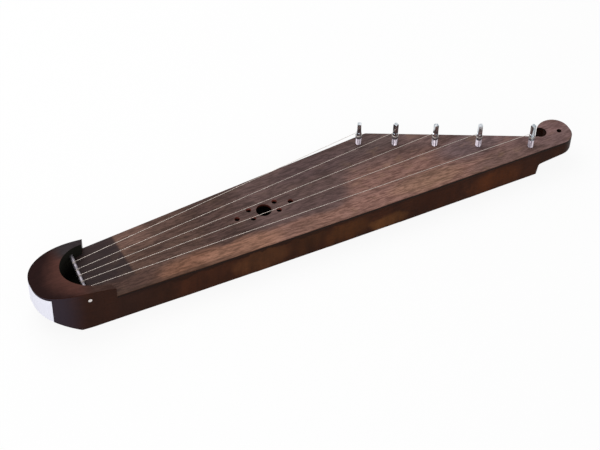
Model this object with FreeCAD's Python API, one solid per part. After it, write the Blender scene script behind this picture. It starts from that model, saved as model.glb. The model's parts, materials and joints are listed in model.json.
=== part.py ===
# A five-string kantele: a carved body with a raised horseshoe end, a thin soundboard
# glued over its chamber, a steel rod that anchors the strings, and five tuning pins.
#
# All lengths are in millimetres. While it is built, X runs along the long side from
# the ends of the horseshoe's arms towards the hooked tail, Y runs from the long side
# to the flared side, and Z is up from the flat bottom. The finished pieces are moved
# so that the origin lies in the bottom plane, at the middle of the overall length
# and width.
import FreeCAD
import Part
import math
import os

V = FreeCAD.Vector
UP = V(0, 0, 1)

# Heights
board_top = 44.0            # bottom of the body to the top of the soundboard
board_thick = 3.5           # soundboard
floor_thick = 6.0           # wood left under the sound chamber
tail_thick = 26.3           # hooked tail at its step, soundboard included
tail_slope = 7.2            # degrees by which its underside rises to the end
rim_peak_z = 66.8           # highest line of the horseshoe rim
rim_peak_x = -52.7
rim_arch_radius = 208.0     # the rim's top is a gentle arch along the length

# Plan of the sides
half_width = 44.5           # at the arms' ends, measured from the middle line
middle_y = 45.8
flare_angle = 4.6           # between the long side and the flared side
tail_end_x = 655.3          # end of the tail; the whole length follows it
near_end_back = 20.7        # the long side's bow ends this far before the ear's centre
near_end_y = -0.2
near_bow = 2.3              # the long side bows outwards by this much
oblique_angle = 25.6        # between the slanted pin end and the long side
oblique_inset = 9.0         # the slanted end's line passes the ear's centre this far inside
far_corner_radius = 8.0

# Horseshoe end: outside a superellipse, inside a half ellipse
nose_start_x = -14.5
nose_length = 73.3
nose_power = 2.66
hollow_length = 48.5
hollow_half_width = 36.0
hollow_floor_z = 16.0
arm_end_near_x = 6.2        # outer corners of the arms' ends
arm_end_far_x = -4.2
arm_end_bevel = 24.0        # the inner corners lie further back, by this angle
keel_start_x = -41.0        # left of here the bottom slopes up
keel_angle = 33.5
keel_radius = 3.0
rim_edge_radius = 1.0

# Tail: an ear-shaped end with a round notch and a hanging hole, placed from the ear's centre
ear_radius = 22.6
ear_corner_radius = 19.0
ear_straight = 4.4          # between the rounded corner and the ear
notch_back = 16.9
notch_aside = 6.2
notch_radius = 8.4
hang_hole_ahead = 7.3
hang_hole_aside = -1.7
hang_hole_radius = 3.2
step_back = 35.2            # the deep part of the body ends here
step_lean = 2.5
step_radius = 4.0
edge_radius = 0.8           # soundboard and bottom edges, broken by hand

# Sound chamber and the glued soundboard
side_wall = 8.0
head_wall = 31.0            # wood between the open hollow and the chamber, under the arms' ends
pin_land = 34.0             # solid wood left along the slanted end for the pins
chamber_corner = 8.0
board_end_x = -21.0         # the soundboard's end, under the string rod
board_fit = 0.15            # round the tongue between the arms
brace_from_hole = (-96.0, 104.0)
brace_width = 9.0
brace_height = 7.0
brace_scoop = 14.0          # length of the thinned ends
brace_tip = 2.5
brace_gap = 2.0             # to the side walls

# Sound holes: one large, six small ones in a lozenge round it
sound_hole_to_corner = 177.7  # along X, from the far corner of the slanted end
sound_hole_aside = -0.3     # from the middle line
sound_hole_radius = 10.0
small_hole_radius = 3.5
small_tip_reach = 37.0
small_side_x = 17.8
small_side_y = 7.6

# String rod
rod_radius = 2.5
rod_z = 52.3
rod_x = -27.9               # at y = 0
rod_slant = 0.048           # the rod's far end lies nearer the tail
rod_cover = 4.5             # wood over its far end
rod_proud = 0.2             # its near end shows in the side of the body
rod_fit = 0.05

# Tuning pins
pin_back = (258.6, 211.2, 158.9, 101.6, 33.1)   # along the slanted end, from the ear's centre
pin_stand = (36.0, 36.5, 36.5, 37.5, 38.5)      # above the soundboard
pin_turned = (63.0, 18.0, 83.0, 73.0, 18.0)     # how far each square has been turned
pin_inset = 18.4            # from the slanted end
pin_radius = 3.5
pin_length = 60.0
pin_rake = 0.0              # towards the tail, in degrees
pin_fit = 0.08
pin_head_length = 15.5
pin_head_top = 4.9          # across the flats
pin_head_foot = 5.9
pin_top_chamfer = 0.6
pin_tip_chamfer = 1.0
pin_hole_spare = 2.0        # the blind holes are this much deeper than the pins
eye_radius = 0.5

# Strings
wire_radius = 0.25
string_aside = (18.2, 5.7, -4.0, -14.1, -25.5)  # on the rod, from the middle of the body
coil_below_top = 19.3       # the string meets its pin this far below the pin's top
coil_pitch = 1.2
coil_quarters = 15          # quarter turns on the pin
coil_last_drop = 1.1        # fall of the last quarter turn, down to the eye
coil_seat = 0.3             # between the coil and the pin that turns in it
wrap_quarters = 5           # quarter turns round the rod
wrap_pitch = 1.2
wrap_seat = 0.05
tail_length = 7.0
string_end_length = 8.6     # the cut end that lies in the pin's eye

# Paper label round the nose, left blank
label_thick = 0.25
label_top_z = 61.0
label_near_x = -72.5
label_far_y = 60.0
label_lift = 0.6            # of its lower edge above the sloping bottom

half_flare = math.radians(flare_angle / 2)
axis_dir = V(math.cos(half_flare), math.sin(half_flare), 0)
side_dir = V(-math.sin(half_flare), math.cos(half_flare), 0)
far_dir = V(math.cos(2 * half_flare), math.sin(2 * half_flare), 0)
oblique_dir = V(math.cos(math.radians(oblique_angle)), -math.sin(math.radians(oblique_angle)), 0)
oblique_out = V(-oblique_dir.y, oblique_dir.x, 0)
ear = V(tail_end_x - ear_radius, near_end_y + ear_corner_radius + ear_straight, 0)
near_end = V(ear.x - near_end_back, near_end_y, 0)
notch = ear + V(-notch_back, notch_aside, 0)
hang_hole = ear + V(hang_hole_ahead, hang_hole_aside, 0)
step_x = ear.x - step_back
oblique_point = ear - oblique_out * oblique_inset
seat_z = board_top - board_thick
spare = 20.0                # cutting shapes stand out of the wood by this much
blank_top = rim_peak_z + spare
reach = 2000.0              # longer and wider than the whole instrument


def middle(s, w=0.0):
    """Point at s along the middle line and w to the flared side of it."""
    return V(0, middle_y, 0) + axis_dir * s + side_dir * w


def nose_half_width(s):
    """Half width of the outside at s, left of the straight sides."""
    straight = half_width + s * math.tan(half_flare)
    inside = max(0.0, (nose_start_x - s) / nose_length)
    return straight * max(0.0, 1 - inside ** nose_power) ** (1 / nose_power)


def nose_curve(grow=0.0):
    """Smooth outside of the horseshoe, from the far side round to the near side."""
    steps = 11
    half = []
    for k in range(steps + 1):
        angle = math.pi / 2 * k / steps
        s = nose_start_x - nose_length * math.sin(angle) ** (2 / nose_power)
        half.append((s, nose_half_width(s)))
    half[-1] = (nose_start_x - nose_length, 0.0)
    points = [middle(s, w) for s, w in half]
    points += [middle(s, -w) for s, w in reversed(half[:-1])]
    curve = Part.BSplineCurve()
    curve.interpolate(Points=points, InitialTangent=-far_dir, FinalTangent=V(1, 0, 0))
    if grow > 0:
        headings = [curve.tangent(curve.parameter(p))[0] for p in points]
        points = [p + V(h.y, -h.x, 0) * grow for p, h in zip(points, headings)]
        curve.interpolate(Points=points, InitialTangent=-far_dir, FinalTangent=V(1, 0, 0))
    return curve.toShape(), points[0], points[-1]


def line(a, b):
    return Part.LineSegment(a, b).toShape()


def arc(a, m, b):
    return Part.Arc(a, m, b).toShape()


def round_corner(corner, towards_a, towards_b, radius):
    """Start, middle and end of the arc that rounds a corner between two directions."""
    half = towards_a.getAngle(towards_b) / 2
    start = corner + towards_a * (radius / math.tan(half))
    end = corner + towards_b * (radius / math.tan(half))
    bisector = (towards_a + towards_b).normalize()
    mid = corner + bisector * (radius / math.sin(half) - radius)
    return start, mid, end


def crossing(p, d, q, e):
    """Where the line through p along d meets the line through q along e."""
    t = ((q - p).cross(e)).z / (d.cross(e)).z
    return p + d * t


def prism(edges, low, high):
    """Upright solid over a closed outline."""
    face = Part.Face(Part.Wire(Part.sortEdges(edges)[0]))
    face.translate(V(0, 0, low))
    return face.extrude(V(0, 0, high - low))


def polygon_prism(points, low, high):
    return prism([line(a, b) for a, b in zip(points, points[1:] + points[:1])], low, high)


def outline_edges():
    """The instrument seen from above, without the notch."""
    nose, far_start, near_start = nose_curve()
    bow = (near_start + near_end) * 0.5 - V(0, near_bow, 0)
    low_corner = V(tail_end_x - ear_corner_radius, near_end_y, 0)
    turn_mid = low_corner + V(math.sin(math.pi / 4), 1 - math.cos(math.pi / 4), 0) * ear_corner_radius
    turn_end = low_corner + V(1, 1, 0) * ear_corner_radius
    ear_start = ear + V(ear_radius, 0, 0)
    ear_mid = ear + V(0, ear_radius, 0)
    ear_end = oblique_point - oblique_dir * math.sqrt(ear_radius ** 2 - oblique_inset ** 2)
    a, m, b = round_corner(far_corner(), oblique_dir, -far_dir, far_corner_radius)
    return [arc(near_start, bow, near_end), line(near_end, low_corner),
            arc(low_corner, turn_mid, turn_end), line(turn_end, ear_start),
            arc(ear_start, ear_mid, ear_end), line(ear_end, a), arc(a, m, b),
            line(b, far_start), nose]


def far_corner():
    """Where the flared side would meet the slanted end, before its rounding."""
    return crossing(oblique_point, oblique_dir, far_start_point, far_dir)


def upright_bore(centre, radius):
    return Part.makeCylinder(radius, blank_top + 2 * spare, V(centre.x, centre.y, -spare))


def right_of_arms(low, high):
    """Everything on the tail side of the arms' ends, which are bevelled towards each other."""
    bevel = math.radians(arm_end_bevel)
    near = V(arm_end_near_x, middle_y - half_width, 0)
    far = V(arm_end_far_x, middle_y + half_width, 0)
    near_dir = V(-math.sin(bevel), math.cos(bevel), 0)
    far_dir_in = V(-math.sin(bevel), -math.cos(bevel), 0)
    back = crossing(near, near_dir, far, far_dir_in)
    a = near - near_dir * half_width
    b = far - far_dir_in * half_width
    return polygon_prism([a, V(reach, a.y, 0), V(reach, b.y, 0), b, back], low, high)


def between_arms(inset, low, high):
    """Inside of the horseshoe, open towards the tail."""
    a = hollow_length - inset
    b = hollow_half_width - inset
    ellipse = Part.Ellipse(V(0, 0, 0), a, b)
    half = Part.ArcOfEllipse(ellipse, math.pi / 2, 3 * math.pi / 2).toShape()
    past_arms = arm_end_near_x + spare
    edges = [half, line(V(0, b, 0), V(past_arms, b, 0)), line(V(past_arms, b, 0), V(past_arms, -b, 0)),
             line(V(past_arms, -b, 0), V(0, -b, 0))]
    solid = prism(edges, low, high)
    solid.rotate(V(0, 0, 0), UP, flare_angle / 2)
    solid.translate(V(0, middle_y, 0))
    return solid


def side_profile():
    """Lengthwise shape of the body, spread over the whole width."""
    keel = math.radians(keel_angle)
    left = nose_start_x - nose_length - spare
    arch = V(rim_peak_x, 0, rim_peak_z - rim_arch_radius)

    def arch_point(x):
        return V(x, 0, arch.z + math.sqrt(rim_arch_radius ** 2 - (x - arch.x) ** 2))

    right = arm_end_near_x + spare
    keel_corner = V(keel_start_x, 0, 0)
    k1, km, k2 = round_corner(keel_corner, V(-math.cos(keel), 0, math.sin(keel)), V(1, 0, 0), keel_radius)
    step_low = V(step_x, 0, 0)
    step_high = V(step_x + step_lean, 0, board_top - tail_thick)
    drop = (step_low - step_high).normalize()
    underside = V(1, 0, math.tan(math.radians(tail_slope)))
    s1, sm, s2 = round_corner(step_high, drop, V(underside).normalize(), step_radius)
    low_left = V(left, 0, (keel_start_x - left) * math.tan(keel))
    past_tail = tail_end_x + spare
    end_low = step_high + underside * (past_tail - step_high.x)
    points_right = [end_low, V(past_tail, 0, seat_z), V(right, 0, seat_z), arch_point(right)]
    edges = [line(low_left, k1), arc(k1, km, k2), line(k2, step_low), line(step_low, s1), arc(s1, sm, s2)]
    edges += [line(a, b) for a, b in zip([s2] + points_right, points_right)]
    edges += [arc(arch_point(right), arch_point(rim_peak_x), arch_point(left)),
              line(arch_point(left), low_left)]
    face = Part.Face(Part.Wire(edges))
    face.translate(V(0, -reach / 2, 0))
    return face.extrude(V(0, reach, 0))


def far_edge_y(x):
    return far_start_point.y + (x - far_start_point.x) * math.tan(2 * half_flare)


def chamber():
    """Carved sound chamber, with rounded corners."""
    near_in = near_end_y - near_bow + side_wall
    near_line = V(0, near_in, 0)
    far_line = V(0, far_edge_y(0) - side_wall / math.cos(2 * half_flare), 0)
    pin_line = oblique_point - oblique_out * pin_land
    left_line = V(board_end_x + head_wall, 0, 0)
    along = V(1, 0, 0)
    across = V(0, 1, 0)
    corners = [(crossing(near_line, along, left_line, across), across, along),
               (crossing(near_line, along, pin_line, oblique_dir), -along, -oblique_dir),
               (crossing(far_line, far_dir, pin_line, oblique_dir), oblique_dir, -far_dir),
               (crossing(far_line, far_dir, left_line, across), far_dir, -across)]
    arcs = [round_corner(c, a, b, chamber_corner) for c, a, b in corners]
    edges = []
    for k, (start, mid, end) in enumerate(arcs):
        edges.append(arc(start, mid, end))
        edges.append(line(end, arcs[(k + 1) % len(arcs)][0]))
    return prism(edges, floor_thick, blank_top)


def hole_plan():
    """Centres and radii of the sound holes."""
    holes = [(sound_hole, sound_hole_radius)]
    offsets = [(-small_tip_reach, 0), (small_tip_reach, 0)]
    offsets += [(sx * small_side_x, sy * small_side_y) for sx in (-1, 1) for sy in (-1, 1)]
    holes += [(sound_hole + V(dx, dy, 0), small_hole_radius) for dx, dy in offsets]
    return holes


rake = math.radians(pin_rake)
pin_axis = V(math.sin(rake), 0, math.cos(rake))
pin_u = V(math.cos(rake), 0, -math.sin(rake))
pin_v = V(0, 1, 0)


def pin_foot(index):
    """Where the axis of a pin meets the top of the soundboard."""
    return oblique_point - oblique_out * pin_inset - oblique_dir * pin_back[index] + UP * board_top


def pin_bore(index):
    """Blind hole for a pin, through the soundboard and into the body."""
    depth = pin_length - pin_stand[index] + pin_hole_spare
    start = pin_foot(index) - pin_axis * depth
    return Part.makeCylinder(pin_radius + pin_fit, depth + spare, start, pin_axis)


def rod_point(y):
    return V(rod_x + rod_slant * y, y, rod_z)


def rod_solid(radius, near_y, far_y):
    start = rod_point(near_y)
    run = rod_point(far_y) - start
    return Part.makeCylinder(radius, run.Length, start, run)


def arm_side_y(x, side):
    """The outside of the near arm (side -1) or of the far arm (side 1) at x."""
    s = x / axis_dir.x
    for _ in range(20):
        s += x - middle(s, side * nose_half_width(s)).x
    return middle(s, side * nose_half_width(s)).y


def rounded(solid, radius, wanted):
    """The solid with the edges for which wanted(edge) holds rounded."""
    edges = [e for e in solid.Edges if wanted(e)]
    return solid.makeFillet(radius, edges)


def make_body():
    solid = prism(outline_edges(), -1, blank_top).common(side_profile())
    solid = solid.cut(right_of_arms(seat_z, blank_top))
    solid = solid.removeSplitter()
    solid = rounded(solid, rim_edge_radius, is_rim_edge)
    solid = rounded(solid, edge_radius, is_bottom_edge)
    solid = solid.cut(between_arms(0.0, seat_z, blank_top))
    hollow = between_arms(0.0, hollow_floor_z, blank_top)
    under_rod = Part.makeBox(reach, reach, blank_top, V(board_end_x - reach, -reach / 2, 0))
    solid = solid.cut(hollow.common(under_rod))
    solid = solid.cut(chamber())
    solid = solid.cut(upright_bore(notch, notch_radius))
    solid = solid.cut(upright_bore(hang_hole, hang_hole_radius))
    solid = solid.cut(rod_solid(rod_radius + rod_fit, rod_near_y - spare, rod_far_y))
    for index in range(len(pin_back)):
        solid = solid.cut(pin_bore(index))
    return solid


def is_rim_edge(edge):
    """Outer top edges of the horseshoe."""
    box = edge.BoundBox
    return box.ZMin > board_top and box.XLength > nose_length / 4


def is_bottom_edge(edge):
    box = edge.BoundBox
    return box.ZMax < 1e-3 and box.XLength > step_x / 2


def make_soundboard():
    outside = prism(outline_edges(), seat_z, board_top)
    keep = Part.makeBox(reach, reach, blank_top, V(board_end_x, -reach / 2, 0))
    main = outside.common(right_of_arms(seat_z - 1, board_top + 1)).common(keep)
    main = rounded(main.removeSplitter(), edge_radius, is_board_edge)
    tongue = between_arms(board_fit, seat_z, board_top)
    tongue = tongue.common(keep).cut(right_of_arms(seat_z - 1, board_top + 1))
    solid = main.fuse(tongue).removeSplitter()
    for centre, radius in hole_plan():
        solid = solid.cut(upright_bore(centre, radius))
    solid = solid.cut(upright_bore(notch, notch_radius))
    solid = solid.cut(upright_bore(hang_hole, hang_hole_radius))
    for index in range(len(pin_back)):
        solid = solid.cut(pin_bore(index))
    return solid


def is_board_edge(edge):
    """Outer top edges of the soundboard, without the joint at the arms."""
    box = edge.BoundBox
    on_top = abs(box.ZMin - board_top) < 1e-3 and box.ZLength < 1e-3
    at_arms = box.XMax < arm_end_near_x + 3
    return on_top and not at_arms


def make_brace(x):
    """A bar across the underside of the soundboard, thinned towards its ends."""
    near = near_end_y - near_bow + side_wall + brace_gap
    far = far_edge_y(x) - side_wall - brace_gap - brace_width * math.tan(2 * half_flare)
    low = seat_z - brace_height
    tip = seat_z - brace_tip
    start = x - brace_width / 2
    outline = [V(start, near, seat_z), V(start, near, tip), V(start, near + brace_scoop, low),
               V(start, far - brace_scoop, low), V(start, far, tip), V(start, far, seat_z)]
    face = Part.Face(Part.makePolygon(outline + outline[:1]))
    return face.extrude(V(brace_width, 0, 0))


def make_pin(index):
    """Tuning pin: a tapered square on a round shaft with an eye for the string."""
    low = -(pin_length - pin_stand[index])
    top = pin_stand[index]
    shaft = Part.makeCylinder(pin_radius, pin_length - pin_head_length, V(0, 0, low))
    shaft = rounded_foot(shaft, low)
    head_round = Part.makeCylinder(pin_radius, pin_head_length, V(0, 0, top - pin_head_length))
    foot = square_wire(pin_head_foot, top - pin_head_length)
    crown = square_wire(pin_head_top, top)
    taper = Part.makeLoft([foot, crown], True, True)
    taper.rotate(V(0, 0, 0), UP, pin_turned[index])
    cone_low = pin_radius - pin_top_chamfer
    trim = Part.makeCone(pin_radius + pin_head_length, cone_low, pin_head_length + pin_top_chamfer,
                         V(0, 0, top - pin_head_length - pin_top_chamfer))
    head = head_round.common(taper).common(trim)
    solid = shaft.fuse(head)
    eye_z = top - coil_below_top - coil_fall()
    angle = eye_angle(index)
    direction = V(math.cos(angle), math.sin(angle), 0)
    eye_start = V(0, 0, eye_z) - direction * (2 * pin_radius)
    eye = Part.makeCylinder(eye_radius, 4 * pin_radius, eye_start, direction)
    return stand_up(solid.cut(eye).removeSplitter(), index)


def square_wire(across, z):
    half = across / 2
    corners = [V(-half, -half, z), V(half, -half, z), V(half, half, z), V(-half, half, z)]
    return Part.makePolygon(corners + corners[:1])


def rounded_foot(shaft, low):
    edges = [e for e in shaft.Edges if abs(e.BoundBox.ZMax - low) < 1e-6 and e.BoundBox.ZLength < 1e-6]
    return shaft.makeChamfer(pin_tip_chamfer, edges)


def stand_up(solid, index):
    """From the pin's own upright axis to its raked place on the board."""
    solid.rotate(V(0, 0, 0), V(0, 1, 0), pin_rake)
    solid.translate(pin_foot(index))
    return solid


def coil_fall():
    """From the string's first touch on the pin down to the eye."""
    return (coil_quarters - 1) * coil_pitch / 4 + coil_last_drop


def coil_radius():
    return pin_radius + coil_seat + wire_radius


def wrap_radius():
    return rod_radius + wrap_seat + wire_radius


def turn_station(centre, axis, u, v, radius, angle, rise):
    """Place and direction on a helix that turns from v towards u."""
    place = centre + u * (radius * math.cos(angle)) + v * (radius * math.sin(angle))
    heading = u * math.sin(angle) - v * math.cos(angle) + axis * (rise / (2 * math.pi * radius))
    return place, heading.normalize()


def string_run(index):
    """Straight stretch of a string: where it leaves the rod and where it meets its pin."""
    rod_dir = (rod_point(1) - rod_point(0)).normalize()
    rod_u = rod_dir.cross(UP)
    foot = pin_foot(index)
    centre_rod = rod_point(middle_y + string_aside[index])
    centre_pin = foot + pin_axis * (pin_stand[index] - coil_below_top)
    leave = centre_rod + UP * wrap_radius()
    meet = centre_pin + pin_v * coil_radius()
    for _ in range(12):
        run = (meet - leave).normalize()
        rod_angle = math.atan2(run.dot(rod_u), -run.dot(UP))
        pin_angle = math.atan2(run.dot(pin_u), -run.dot(pin_v))
        leave = centre_rod + rod_u * (wrap_radius() * math.cos(rod_angle))
        leave += UP * (wrap_radius() * math.sin(rod_angle))
        meet = centre_pin + pin_u * (coil_radius() * math.cos(pin_angle))
        meet += pin_v * (coil_radius() * math.sin(pin_angle))
    return leave, meet, rod_angle, pin_angle


def eye_angle(index):
    """Direction of the pin's eye, where the last quarter turn of the coil ends."""
    leave, meet, rod_angle, pin_angle = string_run(index)
    return pin_angle - coil_quarters * math.pi / 2


def one_arc(a, heading, b):
    """Arc from a to b that leaves a along heading, and its heading at b."""
    chord = b - a
    along = V(chord).normalize()
    turn = heading.getAngle(along)
    aside = (heading - along * heading.dot(along)).normalize()
    middle_point = (a + b) * 0.5 + aside * (chord.Length / 2 * math.tan(turn / 2))
    return Part.Arc(a, middle_point, b).toShape()


def biarc(a, heading_a, b, heading_b):
    """Two arcs from a to b that keep the headings at both ends."""
    chord = b - a
    both = heading_a + heading_b
    bend = 2 * (1 - heading_a.dot(heading_b))
    reach_out = (-chord.dot(both) + math.sqrt(chord.dot(both) ** 2 + bend * chord.dot(chord))) / bend
    joint = (a + b + (heading_a - heading_b) * reach_out) * 0.5
    heading_joint = (b - heading_b * reach_out - a - heading_a * reach_out).normalize()
    return [one_arc(a, heading_a, joint), one_arc(joint, heading_joint, b)]


def stations_at(quarters):
    """Quarter turns at which a coil's stations lie: every half turn, and the last one."""
    return list(range(0, quarters, 2)) + [quarters]


def string_path(index):
    """Centre line of a string from its cut tail to the eye of its pin."""
    leave, meet, rod_angle, pin_angle = string_run(index)
    run = (meet - leave).normalize()
    rod_dir = (rod_point(1) - rod_point(0)).normalize()
    rod_u = rod_dir.cross(UP)
    centre = rod_point(middle_y + string_aside[index])
    stations = [(leave, run)]
    for k in stations_at(wrap_quarters)[1:]:
        here = centre - rod_dir * (wrap_pitch * k / 4)
        angle = rod_angle + k * math.pi / 2
        stations.insert(0, turn_station(here, rod_dir, rod_u, UP, wrap_radius(), angle, wrap_pitch))
    tail_start = stations[0][0] - stations[0][1] * tail_length
    edges = [line(tail_start, stations[0][0])]
    for (a, ha), (b, hb) in zip(stations, stations[1:]):
        edges += biarc(a, ha, b, hb)
    edges.append(line(leave, meet))
    top = pin_foot(index) + pin_axis * (pin_stand[index] - coil_below_top)
    stations = [(meet, run)]
    for k in stations_at(coil_quarters)[1:]:
        fall = coil_fall() if k == coil_quarters else coil_pitch * k / 4
        here = top - pin_axis * fall
        angle = pin_angle - k * math.pi / 2
        stations.append(turn_station(here, pin_axis, pin_u, pin_v, coil_radius(), angle, -coil_pitch))
    for (a, ha), (b, hb) in zip(stations, stations[1:]):
        edges += biarc(a, ha, b, hb)
    last, heading = stations[-1]
    edges.append(line(last, last + heading * (2 * wire_radius)))
    return edges


def least_gap(edges):
    """Least distance between the surfaces of turns of one wire, on points of its centre line."""
    points = []
    walked = 0.0
    steps = 16
    for edge in edges:
        start = edge.FirstParameter
        step = (edge.LastParameter - start) / steps
        for k in range(steps):
            points.append((walked + edge.Length * k / steps, edge.valueAt(start + step * k)))
        walked += edge.Length
    gap = reach
    half_turn = math.pi * wrap_radius()
    for i, (at_i, p) in enumerate(points):
        for at_j, q in points[i + 1:]:
            if at_j - at_i > half_turn:
                gap = min(gap, p.distanceToPoint(q) - 2 * wire_radius)
    return gap


def make_string(index):
    edges = string_path(index)
    wire = Part.Wire(edges)
    start = edges[0].valueAt(edges[0].FirstParameter)
    heading = edges[0].tangentAt(edges[0].FirstParameter)
    section = Part.Wire(Part.Circle(start, heading, wire_radius).toShape())
    solid = wire.makePipeShell([section], True, False)
    expected = math.pi * wire_radius ** 2 * wire.Length
    leave, meet, rod_angle, pin_angle = string_run(index)
    print("string", index + 1, "speaking length", round(leave.distanceToPoint(meet), 1),
          "wire length", round(wire.Length, 1), "volume share", round(solid.Volume / expected, 4),
          "least gap", round(least_gap(edges), 3))
    return solid


def make_string_end(index):
    """Cut end of a string, lying in the eye of its pin."""
    angle = eye_angle(index)
    direction = V(math.cos(angle), math.sin(angle), 0)
    eye_z = pin_stand[index] - coil_below_top - coil_fall()
    start = direction * (pin_radius - 0.2) + V(0, 0, eye_z)
    solid = Part.makeCylinder(wire_radius, string_end_length, start, -direction)
    return stand_up(solid, index)


def make_label():
    """Thin paper round the nose, cut along the sloping bottom."""
    grown, first, last = nose_curve(label_thick)
    shell = prism([grown, line(last, first)], 0, blank_top)
    shell = shell.cut(prism(outline_edges(), -1, blank_top + 1))
    left = nose_start_x - nose_length - spare
    near = middle_y - half_width - spare
    region = Part.makeBox(label_near_x - left, label_far_y - near, label_top_z, V(left, near, 0))
    keel = math.tan(math.radians(keel_angle))
    low = [V(left, near, -spare), V(left, near, (keel_start_x - left) * keel + label_lift),
           V(keel_start_x, near, label_lift), V(keel_start_x, near, -spare)]
    below = Part.Face(Part.makePolygon(low + low[:1])).extrude(V(0, reach, 0))
    return shell.common(region).cut(below)


far_start_point = nose_curve()[1]
sound_hole_x = far_corner().x - sound_hole_to_corner
sound_hole = middle(sound_hole_x / axis_dir.x) + V(0, sound_hole_aside, 0)
rod_near_y = arm_side_y(rod_point(0).x, -1) - rod_proud
rod_far_y = arm_side_y(rod_point(middle_y + half_width).x, 1) - rod_cover

parts = {"body": make_body(), "soundboard": make_soundboard()}
for number, offset in enumerate(brace_from_hole, 1):
    parts["soundboard_brace_%d" % number] = make_brace(sound_hole.x + offset)
parts["string_rod"] = rod_solid(rod_radius, rod_near_y, rod_far_y)
for number in range(len(pin_back)):
    parts["tuning_pin_%d" % (number + 1)] = make_pin(number)
    parts["string_%d" % (number + 1)] = make_string(number)
    parts["string_end_%d" % (number + 1)] = make_string_end(number)
parts["label"] = make_label()

whole = Part.makeCompound(list(parts.values())).optimalBoundingBox(False, False)
shift = V(-(whole.XMin + whole.XMax) / 2, -(whole.YMin + whole.YMax) / 2, 0)
print("overall", round(whole.XLength, 2), round(whole.YLength, 2), round(whole.ZLength, 2))
print("origin at", round(-shift.x, 3), round(-shift.y, 3))
for number in range(len(pin_back)):
    print("pin", number + 1, [round(c, 3) for c in pin_foot(number) + shift])
print("pin axis", [round(c, 5) for c in pin_axis])
hole_low = board_top - tail_thick + (hang_hole.x - step_x - step_lean) * math.tan(math.radians(tail_slope))
print("hanging hole", [round(c, 3) for c in hang_hole + UP * (board_top + hole_low) / 2 + shift],
      "length", round(board_top - hole_low, 2))
print("sound hole", [round(c, 3) for c in sound_hole])

os.makedirs("parts", exist_ok=True)
for name, shape in parts.items():
    shape = shape.Solids[0]
    shape.translate(shift)
    print(name, "valid", shape.isValid(), "faces", len(shape.Faces),
          "volume", round(shape.Volume, 2))
    shape.exportStep("parts/" + name + ".step")
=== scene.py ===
import bpy
import json
import math
from types import SimpleNamespace
from mathutils import Matrix, Vector


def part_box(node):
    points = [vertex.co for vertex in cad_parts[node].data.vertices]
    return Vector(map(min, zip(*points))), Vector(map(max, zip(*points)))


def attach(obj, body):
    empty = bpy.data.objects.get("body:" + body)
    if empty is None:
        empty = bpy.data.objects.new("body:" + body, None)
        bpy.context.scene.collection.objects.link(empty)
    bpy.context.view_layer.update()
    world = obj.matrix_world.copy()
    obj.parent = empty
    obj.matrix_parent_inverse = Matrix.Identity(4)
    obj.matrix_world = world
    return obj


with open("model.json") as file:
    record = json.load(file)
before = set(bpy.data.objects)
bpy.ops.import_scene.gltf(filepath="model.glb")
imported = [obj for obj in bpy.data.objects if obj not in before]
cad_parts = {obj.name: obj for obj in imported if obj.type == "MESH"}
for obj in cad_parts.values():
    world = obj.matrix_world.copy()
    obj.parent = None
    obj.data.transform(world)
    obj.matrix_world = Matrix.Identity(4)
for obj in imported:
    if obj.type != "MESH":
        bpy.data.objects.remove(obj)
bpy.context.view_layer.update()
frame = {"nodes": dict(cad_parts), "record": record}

# The kantele lies along X, from its horseshoe end to its hooked tail. Its long straight
# side is the near one, at negative Y, and the flared side is the far one. Places and
# sizes are in metres, and colours are linear.
PIN_JOINTS = frame["record"]["behaviour"]["joints"]
BOARD_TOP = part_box("soundboard")[1][2]

# The hollow of the horseshoe end: half an ellipse round this middle, along the middle line
HOLLOW_MIDDLE = (-0.28361, -0.01468)
HOLLOW_HALF = (0.0485, 0.0360)
HALF_FLARE = math.radians(2.3)

# Thread on each tuning pin's shaft, from the soundboard up to the cut string end
THREAD_PITCH = 0.00045
THREAD_DEPTH = 0.00021
THREAD_INNER_RADIUS = 0.00350
THREAD_SEGMENTS = 48
THREAD_ABOVE_BOARD = 0.0003
THREAD_BELOW_STRING_END = 0.0006

# Painted shade on a coil, between its lower turns: reach round its pin, and full and fading height
# over the string's cut end
COIL_SHADE_REACH = 0.009
COIL_SHADE_FULL = 0.0036
COIL_SHADE_FADED = 0.0048


def opening_middle(name):
    """Middle of a stated opening, in the plan."""
    openings = frame["record"]["physics"]["openings"]
    low, high = next(opening["box_m"] for opening in openings if opening["name"] == name)
    return ((low[0] + high[0]) / 2, (low[1] + high[1]) / 2)


HOLE_MIDDLE = opening_middle("sound_hole")


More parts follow.
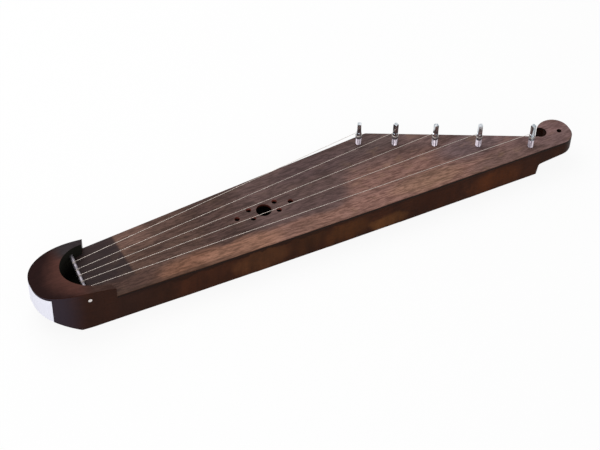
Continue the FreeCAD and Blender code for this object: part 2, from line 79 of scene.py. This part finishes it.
class Nodes:
    """Builds one material's node tree."""

    def __init__(self, name):
        self.material = bpy.data.materials.new(name)
        self.material.use_nodes = True
        self.tree = self.material.node_tree
        self.tree.nodes.clear()
        self.out = self.add("ShaderNodeOutputMaterial")
        self.coords = self.add("ShaderNodeTexCoord").outputs["Object"]

    def add(self, kind, **settings):
        node = self.tree.nodes.new(kind)
        for key, value in settings.items():
            setattr(node, key, value)
        return node

    def put(self, socket, value):
        """Link a socket to a socket, or set it to a number, vector or colour."""
        if isinstance(value, bpy.types.NodeSocket):
            self.tree.links.new(value, socket)
        elif isinstance(value, (tuple, list)) and len(value) == 3 and socket.type == "RGBA":
            socket.default_value = (*value, 1.0)
        else:
            socket.default_value = value

    def math(self, operation, a, b=0.0, clamp=False):
        node = self.add("ShaderNodeMath", operation=operation, use_clamp=clamp)
        self.put(node.inputs[0], a)
        self.put(node.inputs[1], b)
        return node.outputs[0]

    def times(self, first, *others):
        for other in others:
            first = self.math("MULTIPLY", first, other)
        return first

    def plus(self, first, *others):
        for other in others:
            first = self.math("ADD", first, other)
        return first

    def minus(self, first, second):
        return self.math("SUBTRACT", first, second)

    def around(self, noise, amount):
        """A noise moved to lie around 0, times an amount."""
        return self.times(self.minus(noise, 0.5), amount)

    def vector(self, operation, a, b):
        node = self.add("ShaderNodeVectorMath", operation=operation)
        self.put(node.inputs[0], a)
        self.put(node.inputs[1], b)
        return node.outputs["Value"] if operation == "DOT_PRODUCT" else node.outputs["Vector"]

    def split(self, vector):
        node = self.add("ShaderNodeSeparateXYZ")
        self.put(node.inputs[0], vector)
        return node.outputs

    def facing(self):
        """X, Y and Z of the surface's normal."""
        return self.split(self.add("ShaderNodeNewGeometry").outputs["Normal"])

    def step(self, value, low, high):
        """0 at low, 1 at high, smooth between. low may be the larger one."""
        node = self.add("ShaderNodeMapRange", interpolation_type="SMOOTHSTEP")
        self.put(node.inputs["Value"], value)
        flip = low > high
        self.put(node.inputs["From Min"], min(low, high))
        self.put(node.inputs["From Max"], max(low, high))
        self.put(node.inputs["To Min"], 1.0 if flip else 0.0)
        self.put(node.inputs["To Max"], 0.0 if flip else 1.0)
        return node.outputs["Result"]

    def noise(self, scale, detail=3.0, rough=0.55, vector=None):
        """Noise with a scale per metre for each axis."""
        node = self.add("ShaderNodeTexNoise", noise_dimensions="3D")
        self.put(node.inputs["Vector"], self.vector("MULTIPLY", vector or self.coords, scale))
        self.put(node.inputs["Scale"], 1.0)
        self.put(node.inputs["Detail"], detail)
        self.put(node.inputs["Roughness"], rough)
        return node.outputs["Fac"]

    def mix(self, factor, a, b, blend="MIX"):
        node = self.add("ShaderNodeMix", data_type="RGBA", blend_type=blend)
        self.put(node.inputs["Factor"], factor)
        self.put(node.inputs[6], a)
        self.put(node.inputs[7], b)
        return node.outputs[2]

    def paint(self, under, mask, strength, over):
        """The colour over, laid on the colour under where the mask is 1."""
        return self.mix(self.times(mask, strength), under, over)

    def shade(self, colour, least, noise, amount):
        """A colour made darker and lighter by a noise."""
        return self.mix(1.0, colour, self.plus(least, self.times(noise, amount)), "MULTIPLY")

    def bump(self, height, strength, distance):
        node = self.add("ShaderNodeBump")
        self.put(node.inputs["Strength"], strength)
        self.put(node.inputs["Distance"], distance)
        self.put(node.inputs["Height"], height)
        return node.outputs["Normal"]

    def edges(self, radius):
        """About 1 where the surface bends sharply within the radius, 0 on flats."""
        bevel = self.add("ShaderNodeBevel", samples=6)
        self.put(bevel.inputs["Radius"], radius)
        normal = self.add("ShaderNodeNewGeometry").outputs["Normal"]
        along = self.vector("DOT_PRODUCT", bevel.outputs["Normal"], normal)
        return self.step(self.minus(1.0, along), 0.01, 0.16)

    def finish(self, **sockets):
        shader = self.add("ShaderNodeBsdfPrincipled")
        for key, value in sockets.items():
            self.put(shader.inputs[key.replace("_", " ")], value)
        self.tree.links.new(shader.outputs[0], self.out.inputs["Surface"])
        return self.material


# Wood
def grain(n, wander=0.004):
    """Wood grain along X: broad figure, growth lines and fine fibres."""
    x, y, z = n.split(n.coords)
    sway = n.around(n.noise((3.0, 14.0, 14.0), detail=2.0), wander * 8)
    moved = n.add("ShaderNodeCombineXYZ")
    n.put(moved.inputs[0], x)
    n.put(moved.inputs[1], n.plus(y, sway))
    n.put(moved.inputs[2], n.plus(z, sway))
    place = moved.outputs[0]
    broad = n.noise((6.0, 48.0, 48.0), detail=3.0, vector=place)
    lines = n.noise((62.0, 430.0, 430.0), detail=3.0, rough=0.6, vector=place)
    fibres = n.noise((150.0, 900.0, 900.0), detail=3.0, rough=0.65, vector=place)
    return broad, lines, fibres


def fine_tone(n, lines, fibres):
    """0 on the dark growth lines and fibres, 1 on the light ones."""
    return n.step(n.plus(n.times(lines, 0.65), n.times(fibres, 0.35)), 0.41, 0.59)


def pores(n):
    """Short dark pores, long along X."""
    node = n.add("ShaderNodeTexVoronoi", feature="F1", distance="EUCLIDEAN")
    n.put(node.inputs["Vector"], n.vector("MULTIPLY", n.coords, (95.0, 1250.0, 1250.0)))
    n.put(node.inputs["Scale"], 1.0)
    return n.step(node.outputs["Distance"], 0.42, 0.10)


def zone(n, a, b, middle, reach):
    """1 in the middle of an ellipse, smoothly 0 at its reach."""
    da = n.math("DIVIDE", n.minus(a, middle[0]), reach[0])
    db = n.math("DIVIDE", n.minus(b, middle[1]), reach[1])
    return n.step(n.plus(n.times(da, da), n.times(db, db)), 1.0, 0.12)


# Soundboard
# Its stains, painted shade and painted reflection among them, by X and Y, placed against the
# photograph:
# middle, reach, dark and light tone, strength
BOARD_STAINS = {
    "pale_far_of_dark_end": (
        (-0.228, 0.024), (0.034, 0.034), (0.108, 0.060, 0.047), (0.188, 0.106, 0.083), 0.90),
    "brown_near_of_dark_end": (
        (-0.229, -0.014), (0.032, 0.026), (0.068, 0.037, 0.028), (0.122, 0.068, 0.051), 0.80),
    "grey_right_of_holes": (
        (0.012, -0.022), (0.058, 0.020), (0.068, 0.041, 0.039), (0.120, 0.073, 0.070), 0.60),
    "dark_far_edge": (
        (0.040, 0.036), (0.090, 0.022), (0.058, 0.036, 0.036), (0.106, 0.067, 0.067), 0.80),
    # Painted reflection: the board lighter and warmer along the near edge
    "orange_near_edge": (
        (-0.158, -0.053), (0.092, 0.023), (0.128, 0.060, 0.036), (0.240, 0.114, 0.072), 0.95),
    # Painted reflection: the board lighter and warmer along the near edge
    "light_orange_near_edge": (
        (-0.108, -0.052), (0.070, 0.017), (0.200, 0.100, 0.065), (0.370, 0.188, 0.126), 0.95),
    # Painted shade on the board by the near arm
    "shade_by_near_arm": (
        (-0.264, -0.047), (0.058, 0.022), (0.050, 0.026, 0.020), (0.092, 0.049, 0.038), 0.90),
    "light_near_edge_by_pins": (
        (0.156, -0.045), (0.064, 0.018), (0.172, 0.096, 0.064), (0.330, 0.184, 0.128), 0.75),
    "purple_by_first_two_pins": (
        (0.130, 0.045), (0.062, 0.024), (0.072, 0.049, 0.046), (0.130, 0.088, 0.084), 0.75),
    "purple_by_fourth_pin": (
        (0.236, -0.014), (0.060, 0.024), (0.106, 0.071, 0.072), (0.186, 0.124, 0.128), 0.85),
    "brown_near_edge_before_tail": (
        (0.272, -0.051), (0.070, 0.017), (0.100, 0.061, 0.053), (0.178, 0.108, 0.096), 0.80),
    "red_on_tail": (
        (0.353, -0.022), (0.026, 0.020), (0.150, 0.083, 0.077), (0.262, 0.152, 0.146), 0.80),
    "red_by_third_pin": (
        (0.176, 0.024), (0.034, 0.020), (0.112, 0.068, 0.063), (0.196, 0.122, 0.114), 0.70),
}


def board_fields(n):
    """The grain, the noises and the unevenly shifted places that the board's colours follow."""
    x, y, z = n.split(n.coords)
    broad, lines, fibres = grain(n)
    mottle = n.noise((34.0, 60.0, 60.0), detail=4.0, rough=0.62)
    patch = n.noise((6.0, 16.0, 16.0), detail=4.0, rough=0.62)
    drift = n.plus(n.around(patch, 0.020), n.around(mottle, 0.016))
    px = n.plus(x, drift)
    py = n.plus(y, n.times(drift, 0.8))
    return SimpleNamespace(
        x=x, y=y, z=z, px=px, py=py, slant=n.minus(px, n.times(y, 0.625)),
        broad=broad, lines=lines, fibres=fibres, tone=fine_tone(n, lines, fibres),
        mottle=mottle, patch=patch, pores=pores(n))


def board_tones(n, wood):
    """Broad tones: brown left, grey-brown middle, warm near band, red-brown by the pins, tail."""
    colour = n.mix(wood.tone, (0.045, 0.0255, 0.0215), (0.094, 0.0540, 0.0465))
    left_brown = n.mix(wood.tone, (0.054, 0.0300, 0.0235), (0.114, 0.0650, 0.0520))
    colour = n.mix(n.step(wood.px, -0.125, -0.165), colour, left_brown)
    open_grey = n.mix(wood.tone, (0.074, 0.0460, 0.0420), (0.130, 0.0800, 0.0745))
    colour = n.mix(n.step(wood.px, -0.115, -0.055), colour, open_grey)
    warm = n.mix(wood.tone, (0.145, 0.0740, 0.0560), (0.285, 0.1530, 0.1180))
    near_band = n.times(n.step(wood.py, -0.035, -0.045), n.step(wood.px, -0.135, -0.060))
    colour = n.mix(near_band, colour, warm)

    red = n.mix(wood.tone, (0.142, 0.0710, 0.0570), (0.290, 0.1560, 0.1270))
    red_patch = n.times(n.step(wood.slant, 0.052, 0.076), n.step(wood.py, 0.030, -0.022))
    towards_tail = n.minus(1.0, n.times(n.step(wood.px, 0.160, 0.235), 0.50))
    uneven = n.plus(0.55, n.times(wood.patch, 0.8))
    red_patch = n.math("MULTIPLY", n.times(red_patch, towards_tail), uneven, clamp=True)
    colour = n.paint(colour, red_patch, 0.90, red)
    tail = n.mix(wood.tone, (0.108, 0.0640, 0.0620), (0.192, 0.1210, 0.1190))
    return n.paint(colour, n.step(wood.px, 0.240, 0.335), 0.9, tail)


def board_stains(n, wood, colour):
    """Stains, painted shade and painted reflection among them, the dull near edge on the left, and
    a painted shadow over the dark end with a light strip beside it.
    """
    for middle, reach, dark, light, strength in BOARD_STAINS.values():
        stain = zone(n, wood.px, wood.py, middle, reach)
        colour = n.paint(colour, stain, strength, n.mix(wood.tone, dark, light))
    end_line = n.plus(wood.x, n.times(wood.y, 0.06))
    strip = n.times(n.step(end_line, -0.2475, -0.2460), n.step(end_line, -0.2405, -0.2435))
    uneven = n.times(n.step(wood.py, -0.040, -0.028), n.step(wood.mottle, 0.35, 0.60))
    colour = n.paint(colour, n.times(strip, uneven), 0.25, (0.170, 0.1000, 0.0680))
    dull_edge = n.times(n.step(wood.y, -0.0535, -0.0580), n.step(wood.px, -0.06, -0.16))
    colour = n.paint(colour, dull_edge, 0.6, (0.050, 0.0270, 0.0190))
    # Painted shadow over the board's end by the hollow
    dark_end = n.times(n.step(end_line, -0.2440, -0.2490), n.step(wood.py, -0.044, -0.026))
    return n.paint(colour, dark_end, 0.83, (0.0195, 0.0138, 0.0160))


def board_marks(n, wood, colour):
    """Dark streaks, mottled stain, golden flecks, pores and one long scratch by the pins."""
    colour = n.paint(colour, n.step(wood.broad, 0.54, 0.34), 0.22, (0.034, 0.0210, 0.0190))
    colour = n.shade(colour, 0.60, wood.mottle, 0.78)
    flecks = n.step(n.noise((48.0, 80.0, 80.0), detail=3.0), 0.54, 0.70)
    more_by_pins = n.plus(0.06, n.times(n.step(wood.slant, 0.04, 0.10), 0.16))
    colour = n.paint(colour, flecks, more_by_pins, (0.260, 0.1600, 0.0950))
    colour = n.paint(colour, wood.pores, 0.24, (0.024, 0.0150, 0.0120))

    start_x, start_y, fall, middle_x = 0.1809, -0.0344, 0.15, 0.2165
    off_line = n.minus(n.plus(wood.y, n.times(n.minus(wood.x, start_x), fall)), start_y)
    beside = n.step(n.math("ABSOLUTE", off_line), 0.0011, 0.0003)
    along = n.step(n.math("ABSOLUTE", n.minus(wood.x, middle_x)), 0.040, 0.032)
    return n.paint(colour, n.times(beside, along), 0.45, (0.330, 0.2000, 0.1500))


def board_edges(n, wood, colour):
    """A dark glue seam under an upper edge lightened by wear and a painted highlight, and
    red-brown walls in the small holes.
    """
    side = n.step(n.math("ABSOLUTE", n.facing()[2]), 0.80, 0.35)
    large_hole = zone(n, wood.x, wood.y, HOLE_MIDDLE, (0.014, 0.014))
    all_holes = zone(n, wood.x, wood.y, HOLE_MIDDLE, (0.060, 0.060))
    small_holes = n.times(all_holes, n.minus(1.0, large_hole))
    wall = n.mix(small_holes, (0.026, 0.0085, 0.0040), (0.210, 0.0560, 0.0420))
    colour = n.mix(side, colour, wall)
    seam = n.times(side, n.step(wood.z, BOARD_TOP - 0.0010, BOARD_TOP - 0.0017))
    seam = n.times(seam, n.minus(1.0, small_holes))
    colour = n.mix(seam, colour, (0.0085, 0.0036, 0.0024))
    # Wear and a painted highlight, lighter along the rounded upper edge
    worn = n.times(n.edges(0.0009), n.noise((40.0, 60.0, 60.0), detail=3.0))
    worn = n.times(worn, n.step(wood.z, BOARD_TOP - 0.0012, BOARD_TOP - 0.0004))
    return n.paint(colour, worn, 0.30, (0.16, 0.090, 0.062))


def board_wood():
    n = Nodes("board_wood")
    wood = board_fields(n)
    colour = board_tones(n, wood)
    colour = board_stains(n, wood, colour)
    colour = board_marks(n, wood, colour)
    colour = board_edges(n, wood, colour)
    height = n.plus(n.times(wood.lines, 0.5), n.times(wood.fibres, 0.5))
    height = n.minus(height, n.times(wood.pores, 0.5))
    rough = n.plus(0.34, n.times(wood.mottle, 0.20))
    return n.finish(Base_Color=colour, Roughness=rough, Specular_IOR_Level=0.04,
                    Normal=n.bump(height, 0.22, 0.00012))


# Body
# Stains on its sides, by X and Z, placed against the photograph:
# middle, reach, tone, strength
SIDE_STAINS = {
    "dark_left": ((-0.235, 0.020), (0.060, 0.050), (0.031, 0.0104, 0.0052), 0.85),
    "red_brown_left": ((-0.160, 0.018), (0.050, 0.030), (0.051, 0.0150, 0.0062), 0.75),
    "light_before_holes": ((-0.085, 0.020), (0.048, 0.026), (0.092, 0.0330, 0.0125), 0.85),
    "brown_after_holes": ((-0.020, 0.028), (0.030, 0.030), (0.050, 0.0165, 0.0052), 0.70),
    "light_middle": ((0.036, 0.020), (0.040, 0.022), (0.078, 0.0260, 0.0072), 0.75),
    "orange_low": ((0.092, 0.012), (0.032, 0.014), (0.110, 0.0410, 0.0125), 0.85),
    "dark_right": ((0.165, 0.022), (0.048, 0.040), (0.033, 0.0082, 0.0026), 0.80),
    "orange_by_last_pins": ((0.250, 0.018), (0.050, 0.026), (0.080, 0.0215, 0.0056), 0.80),
    "dark_tail": ((0.340, 0.030), (0.060, 0.030), (0.030, 0.0090, 0.0040), 0.80),
}


def body_fields(n):
    """The grain, the noises and the unevenly shifted places that the body's colours follow."""
    x, y, z = n.split(n.coords)
    lines, fibres = grain(n, wander=0.006)[1:]
    cloud = n.noise((34.0, 34.0, 22.0), detail=4.0, rough=0.62)
    curtain = n.noise((70.0, 70.0, 12.0), detail=3.0, rough=0.6)
    return SimpleNamespace(
        x=x, y=y, z=z, px=n.plus(x, n.around(cloud, 0.05)), pz=n.plus(z, n.around(curtain, 0.02)),
        up=n.facing()[2], lines=lines, fibres=fibres, tone=fine_tone(n, lines, fibres),
        cloud=cloud, curtain=curtain, pores=pores(n))


def hollow_measure(n, wood):
    """Square of the distance from the hollow's middle in the plan, 1 on the hollow's wall."""
    dx = n.minus(wood.x, HOLLOW_MIDDLE[0])
    dy = n.minus(wood.y, HOLLOW_MIDDLE[1])
    cos, sin = math.cos(HALF_FLARE), math.sin(HALF_FLARE)
    along = n.plus(n.times(dx, cos), n.times(dy, sin))
    across = n.minus(n.times(dy, cos), n.times(dx, sin))
    left = n.math("MINIMUM", along, 0.0)
    return n.plus(n.math("POWER", n.math("DIVIDE", left, HOLLOW_HALF[0]), 2.0),
                  n.math("POWER", n.math("DIVIDE", across, HOLLOW_HALF[1]), 2.0))


def in_hollow(n, wood, far):
    """1 on the hollow's wall and floor, where shade is painted, 0 on the rim over it and
    elsewhere.
    """
    rim_top = n.times(n.step(wood.up, 0.4, 0.8), n.step(wood.z, 0.050, 0.054))
    inside = n.times(n.step(far, 1.06, 1.01), n.step(wood.z, 0.008, 0.012))
    inside = n.times(inside, n.step(wood.x, -0.262, -0.270))
    return n.times(inside, n.minus(1.0, rim_top))


def side_colour(n, wood):
    """Red-brown stain in uneven curtains, dark under the soundboard and by the horseshoe, and a
    painted bluish sheen on the end wall.
    """
    colour = n.mix(n.times(wood.tone, 0.6), (0.034, 0.0096, 0.0036), (0.056, 0.0162, 0.0060))
    for middle, reach, tone, strength in SIDE_STAINS.values():
        colour = n.paint(colour, zone(n, wood.px, wood.pz, middle, reach), strength, tone)
    colour = n.shade(colour, 0.30, wood.cloud, 1.36)
    colour = n.shade(colour, 0.50, wood.curtain, 0.96)
    under_board = n.times(n.step(wood.pz, 0.0345, 0.0375), n.step(wood.x, -0.285, -0.240))
    more_on_left = n.plus(0.45, n.times(n.step(wood.x, 0.10, -0.05), 0.55))
    under_board = n.times(under_board, more_on_left)
    colour = n.paint(colour, under_board, 0.72, (0.0140, 0.0048, 0.0022))
    by_horseshoe = n.step(wood.x, -0.205, -0.270)
    colour = n.paint(colour, by_horseshoe, 0.55, (0.023, 0.0094, 0.0072))
    # Painted bluish sheen on the end wall of the horseshoe
    end_wall_sheen = n.times(n.step(wood.x, -0.312, -0.350), n.step(wood.up, 0.5, 0.2))
    return n.paint(colour, end_wall_sheen, 0.80, (0.033, 0.0255, 0.0370))


def rim_colour(n, wood, far):
    """Dark outside on the left, a red glow along the hollow, a painted grey sheen on the far arm
    and a brown near arm.
    """
    dark = n.mix(wood.tone, (0.0118, 0.0032, 0.0028), (0.0148, 0.0042, 0.0038))
    red = n.mix(wood.tone, (0.067, 0.0250, 0.0190), (0.081, 0.0305, 0.0232))
    grey = n.mix(wood.tone, (0.027, 0.0205, 0.0225), (0.036, 0.0280, 0.0300))
    brown = n.mix(wood.tone, (0.030, 0.0178, 0.0142), (0.050, 0.0298, 0.0243))
    glow = n.plus(far, n.around(wood.cloud, 1.6))
    glow = n.minus(glow, n.times(n.plus(wood.x, 0.335), 6.0))
    glow = n.plus(glow, n.times(n.plus(wood.y, 0.022), 9.0))
    colour = n.mix(n.step(glow, 2.70, 0.80), dark, red)
    # Painted grey sheen on the far arm's top
    far_arm_sheen = n.times(n.step(wood.x, -0.336, -0.316), n.step(wood.y, 0.000, 0.012))
    colour = n.mix(far_arm_sheen, colour, grey)
    near_arm = n.times(n.step(wood.x, -0.325, -0.300), n.step(wood.y, -0.030, -0.044))
    return n.paint(colour, near_arm, 0.8, brown)


def body_wood():
    n = Nodes("body_wood")
    wood = body_fields(n)
    far = hollow_measure(n, wood)
    on_top = n.step(wood.up, 0.55, 0.85)
    colour = n.mix(on_top, side_colour(n, wood), rim_colour(n, wood, far))
    colour = n.paint(colour, wood.pores, 0.30, (0.010, 0.0050, 0.0035))
    # Wear and a painted highlight, lighter along the rounded edges
    worn = n.times(n.edges(0.0010), n.noise((30.0, 50.0, 50.0), detail=3.0))
    colour = n.paint(colour, worn, 0.16, (0.085, 0.044, 0.034))
    # Painted shade in the hollow: its wall and floor near black
    hollow = in_hollow(n, wood, far)
    colour = n.paint(colour, hollow, 0.90, (0.0130, 0.0145, 0.0118))
    height = n.plus(n.times(wood.lines, 0.7), n.times(wood.fibres, 0.3))
    height = n.minus(height, n.times(wood.pores, 0.4))
    rough = n.plus(0.26, n.times(wood.cloud, 0.16))
    rough = n.math("ADD", rough, n.times(hollow, 0.4), clamp=True)
    return n.finish(Base_Color=colour, Roughness=rough, Specular_IOR_Level=0.025,
                    Normal=n.bump(height, 0.14, 0.00010))


def brace_wood():
    """Raw spruce."""
    n = Nodes("brace_wood")
    broad, lines, fibres = grain(n)
    colour = n.mix(n.step(lines, 0.3, 0.7), (0.42, 0.28, 0.15), (0.62, 0.46, 0.28))
    colour = n.paint(colour, n.step(broad, 0.6, 0.35), 0.4, (0.36, 0.23, 0.12))
    return n.finish(Base_Color=colour, Roughness=0.7, Normal=n.bump(fibres, 0.3, 0.0001))


# Steel and paper
def metal(name, dark, light, rough, marks, depth, tarnish_and_streaks, special=None):
    """Steel with drawn or lathe marks and slight tarnish, on the thread streaks of painted
    reflection, and maybe a mask with its own colour.
    """
    n = Nodes(name)
    mark = n.noise(marks, detail=3.0, rough=0.6)
    colour = n.mix(n.step(n.noise(tarnish_and_streaks, detail=4.0), 0.35, 0.65), dark, light)
    if special:
        mask, mask_colour = special
        colour = n.mix(mask(n), colour, mask_colour)
    least, most = rough
    return n.finish(Base_Color=colour, Metallic=1.0,
                    Roughness=n.plus(least, n.times(mark, most - least)),
                    Normal=n.bump(mark, depth, 0.00003))


def rod_end(n):
    """1 on the rod's flat end in the near side, 0 elsewhere."""
    return n.step(n.facing()[1], -0.75, -0.95)


def shade_on_coils(n):
    """1 on the lower turns of each string round its pin, where shade is painted, 0 elsewhere."""
    x, y, z = n.split(n.coords)
    most = 0.0
    for number, joint in enumerate(PIN_JOINTS, 1):
        eye_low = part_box("string_end_%d" % number)[0][2]
        near = zone(n, x, y, joint["pos_m"][:2], (COIL_SHADE_REACH, COIL_SHADE_REACH))
        low = n.step(z, eye_low + COIL_SHADE_FADED, eye_low + COIL_SHADE_FULL)
        most = n.math("MAXIMUM", most, n.times(near, low))
    return most


def rod_steel():
    """Dull steel rod with a bright cut end."""
    return metal("rod_steel", (0.150, 0.138, 0.155), (0.285, 0.262, 0.292), rough=(0.35, 0.65),
                 marks=(700.0, 700.0, 700.0), depth=0.6, tarnish_and_streaks=(180.0, 180.0, 180.0),
                 special=(rod_end, (0.66, 0.62, 0.60)))


def pin_nickel():
    """Polished nickel plate on the pins' heads and shafts."""
    return metal("pin_nickel", (0.30, 0.35, 0.38), (0.78, 0.80, 0.84), rough=(0.10, 0.26),
                 marks=(300.0, 300.0, 3200.0), depth=0.35, tarnish_and_streaks=(330.0, 330.0, 150.0))


def pin_thread():
    """The threaded shafts, in lengthwise dark and light streaks of painted reflection."""
    return metal("pin_thread", (0.12, 0.10, 0.12), (0.76, 0.68, 0.75), rough=(0.25, 0.45),
                 marks=(300.0, 300.0, 3200.0), depth=0.2, tarnish_and_streaks=(520.0, 520.0, 30.0))


def string_steel():
    """Drawn wire, with painted shade on the lower turns of the coils."""
    return metal("string_steel", (0.46, 0.40, 0.36), (0.62, 0.555, 0.50), rough=(0.24, 0.40),
                 marks=(700.0, 2600.0, 2600.0), depth=0.2, tarnish_and_streaks=(180.0, 180.0, 180.0),
                 special=(shade_on_coils, (0.105, 0.092, 0.100)))


def label_paper():
    """Matt white paper, left blank, slightly worn along its edges."""
    n = Nodes("label_paper")
    fibre = n.noise((900.0, 900.0, 900.0), detail=4.0, rough=0.7)
    cloud = n.noise((60.0, 60.0, 60.0), detail=2.0)
    colour = n.mix(n.step(fibre, 0.3, 0.7), (0.86, 0.86, 0.985), (0.91, 0.91, 1.0))
    colour = n.paint(colour, n.step(cloud, 0.5, 0.75), 0.25, (0.81, 0.81, 0.94))
    colour = n.paint(colour, n.edges(0.0008), 0.3, (0.58, 0.57, 0.60))
    return n.finish(Base_Color=colour, Roughness=0.6, Normal=n.bump(fibre, 0.25, 0.00003))


# Thread on the pins
def thread_mesh(name, x, y, low, high):
    """A helical V-thread sleeve round an upright axis, cut flat at both ends."""
    columns = THREAD_SEGMENTS + 1
    rows = 2 * int((high - low) / THREAD_PITCH + 2)
    verts, faces = [], []
    for row in range(rows + 1):
        for column in range(columns):
            z = low + THREAD_PITCH * (row / 2 + column / THREAD_SEGMENTS - 1)
            crest = row % 2 if low < z < high else 0
            radius = THREAD_INNER_RADIUS + THREAD_DEPTH * crest
            turn = 2 * math.pi * column / THREAD_SEGMENTS
            height = min(max(z, low), high)
            verts.append((x + radius * math.cos(turn), y + radius * math.sin(turn), height))
    for row in range(rows):
        for column in range(THREAD_SEGMENTS):
            corner = row * columns + column
            faces.append((corner, corner + 1, corner + columns + 1, corner + columns))
    mesh = bpy.data.meshes.new(name)
    mesh.from_pydata(verts, [], faces)
    return mesh


def make_thread(number, joint, material):
    """The thread on one tuning pin, which turns with it."""
    x, y, board = joint["pos_m"]
    eye_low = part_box("string_end_%d" % number)[0][2]
    name = "pin_thread_%d" % number
    mesh = thread_mesh(name, x, y, board + THREAD_ABOVE_BOARD, eye_low - THREAD_BELOW_STRING_END)
    mesh.materials.append(material)
    thread = bpy.data.objects.new(name, mesh)
    bpy.context.scene.collection.objects.link(thread)
    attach(thread, joint["child"])


def dress_nodes(materials):
    """Each CAD node gets the material of its slot in the record."""
    for entry in frame["record"]["subparts"]:
        slots = frame["nodes"][entry["node"]].data.materials
        slots.clear()
        slots.append(materials[entry["material_slot"]])


# Floor, light and camera
def seen_directly(tree):
    """1 for what the camera sees itself or in a reflection, 0 for all other light."""
    path = tree.nodes.new("ShaderNodeLightPath")
    either = tree.nodes.new("ShaderNodeMath")
    either.operation = "MAXIMUM"
    tree.links.new(path.outputs["Is Camera Ray"], either.inputs[0])
    tree.links.new(path.outputs["Is Glossy Ray"], either.inputs[1])
    return either.outputs[0]


def mix_shaders(tree, share, first, second, out):
    mix = tree.nodes.new("ShaderNodeMixShader")
    tree.links.new(share, mix.inputs[0])
    tree.links.new(first.outputs[0], mix.inputs[1])
    tree.links.new(second.outputs[0], mix.inputs[2])
    tree.links.new(mix.outputs[0], out.inputs["Surface"])


def floor_material():
    """Nearly white to the eye, with the object's shadow left on it, and pale grey to the light."""
    material = bpy.data.materials.new("floor")
    material.use_nodes = True
    tree = material.node_tree
    tree.nodes.clear()
    out = tree.nodes.new("ShaderNodeOutputMaterial")
    lit = tree.nodes.new("ShaderNodeBsdfDiffuse")
    lit.inputs["Color"].default_value = (0.86, 0.86, 0.86, 1.0)
    white = tree.nodes.new("ShaderNodeEmission")
    white.inputs["Color"].default_value = (1.0, 1.0, 1.0, 1.0)
    share = tree.nodes.new("ShaderNodeMath")
    share.operation = "MULTIPLY"
    share.inputs[1].default_value = 0.9
    tree.links.new(seen_directly(tree), share.inputs[0])
    mix_shaders(tree, share.outputs[0], lit, white, out)
    return material


def make_floor():
    half, below = 6.0, 0.0002
    corners = [(-half, -half, 0.0), (half, -half, 0.0), (half, half, 0.0), (-half, half, 0.0)]
    mesh = bpy.data.meshes.new("floor")
    mesh.from_pydata(corners, [], [(0, 1, 2, 3)])
    mesh.materials.append(floor_material())
    floor = bpy.data.objects.new("floor", mesh)
    bpy.context.scene.collection.objects.link(floor)
    floor.location.z = -below


def make_world():
    """A soft even light that the eye sees as white."""
    world = bpy.data.worlds.new("studio")
    bpy.context.scene.world = world
    world.use_nodes = True
    tree = world.node_tree
    tree.nodes.clear()
    out = tree.nodes.new("ShaderNodeOutputWorld")
    lights = []
    for strength in (0.55, 1.0):
        light = tree.nodes.new("ShaderNodeBackground")
        light.inputs["Color"].default_value = (1.0, 1.0, 1.0, 1.0)
        light.inputs["Strength"].default_value = strength
        lights.append(light)
    mix_shaders(tree, seen_directly(tree), *lights, out)


def area_light(name, place, target, size, watts):
    data = bpy.data.lights.new(name, "AREA")
    data.shape = "RECTANGLE"
    data.size, data.size_y = size
    data.energy = watts
    light = bpy.data.objects.new(name, data)
    bpy.context.scene.collection.objects.link(light)
    light.location = place
    aim = Vector(target) - Vector(place)
    light.rotation_euler = aim.to_track_quat("-Z", "Y").to_euler()


def make_camera():
    """The photograph's view, from the left of straight across and down."""
    azimuth, elevation, roll = math.radians(-26.7), math.radians(48.8), math.radians(1.8)
    distance, focal_px, width_px = 2.320, 1800.84, 600
    aim = Vector((-0.01634, -0.00648, 0.0))
    level = math.cos(elevation)
    back = Vector((math.sin(azimuth) * level, -math.cos(azimuth) * level, math.sin(elevation)))
    right = Vector((math.cos(azimuth), math.sin(azimuth), 0.0))
    up = back.cross(right)
    side = right * math.cos(roll) + up * math.sin(roll)
    top = up * math.cos(roll) - right * math.sin(roll)
    data = bpy.data.cameras.new("camera")
    data.sensor_width = 36.0
    data.lens = focal_px / width_px * data.sensor_width
    data.shift_x = 0.01210
    data.shift_y = -0.00300
    data.clip_end = 50.0
    camera = bpy.data.objects.new("camera", data)
    bpy.context.scene.collection.objects.link(camera)
    turn = Matrix((side, top, back)).transposed().to_4x4()
    camera.matrix_world = Matrix.Translation(aim + back * distance) @ turn
    bpy.context.scene.camera = camera


makers = (body_wood, board_wood, brace_wood, rod_steel, pin_nickel, string_steel, label_paper)
dress_nodes({maker.__name__: maker() for maker in makers})
thread_steel = pin_thread()
for number, joint in enumerate(PIN_JOINTS, 1):
    make_thread(number, joint, thread_steel)
make_floor()
make_world()
area_light("key", (-0.3, 0.7, 1.5), (0.0, 0.0, 0.0), (1.6, 1.2), 16.0)
area_light("front", (-0.9, -1.3, 1.0), (-0.1, 0.0, 0.0), (1.0, 1.0), 7.5)
make_camera()
bpy.context.scene.view_settings.view_transform = "Standard"
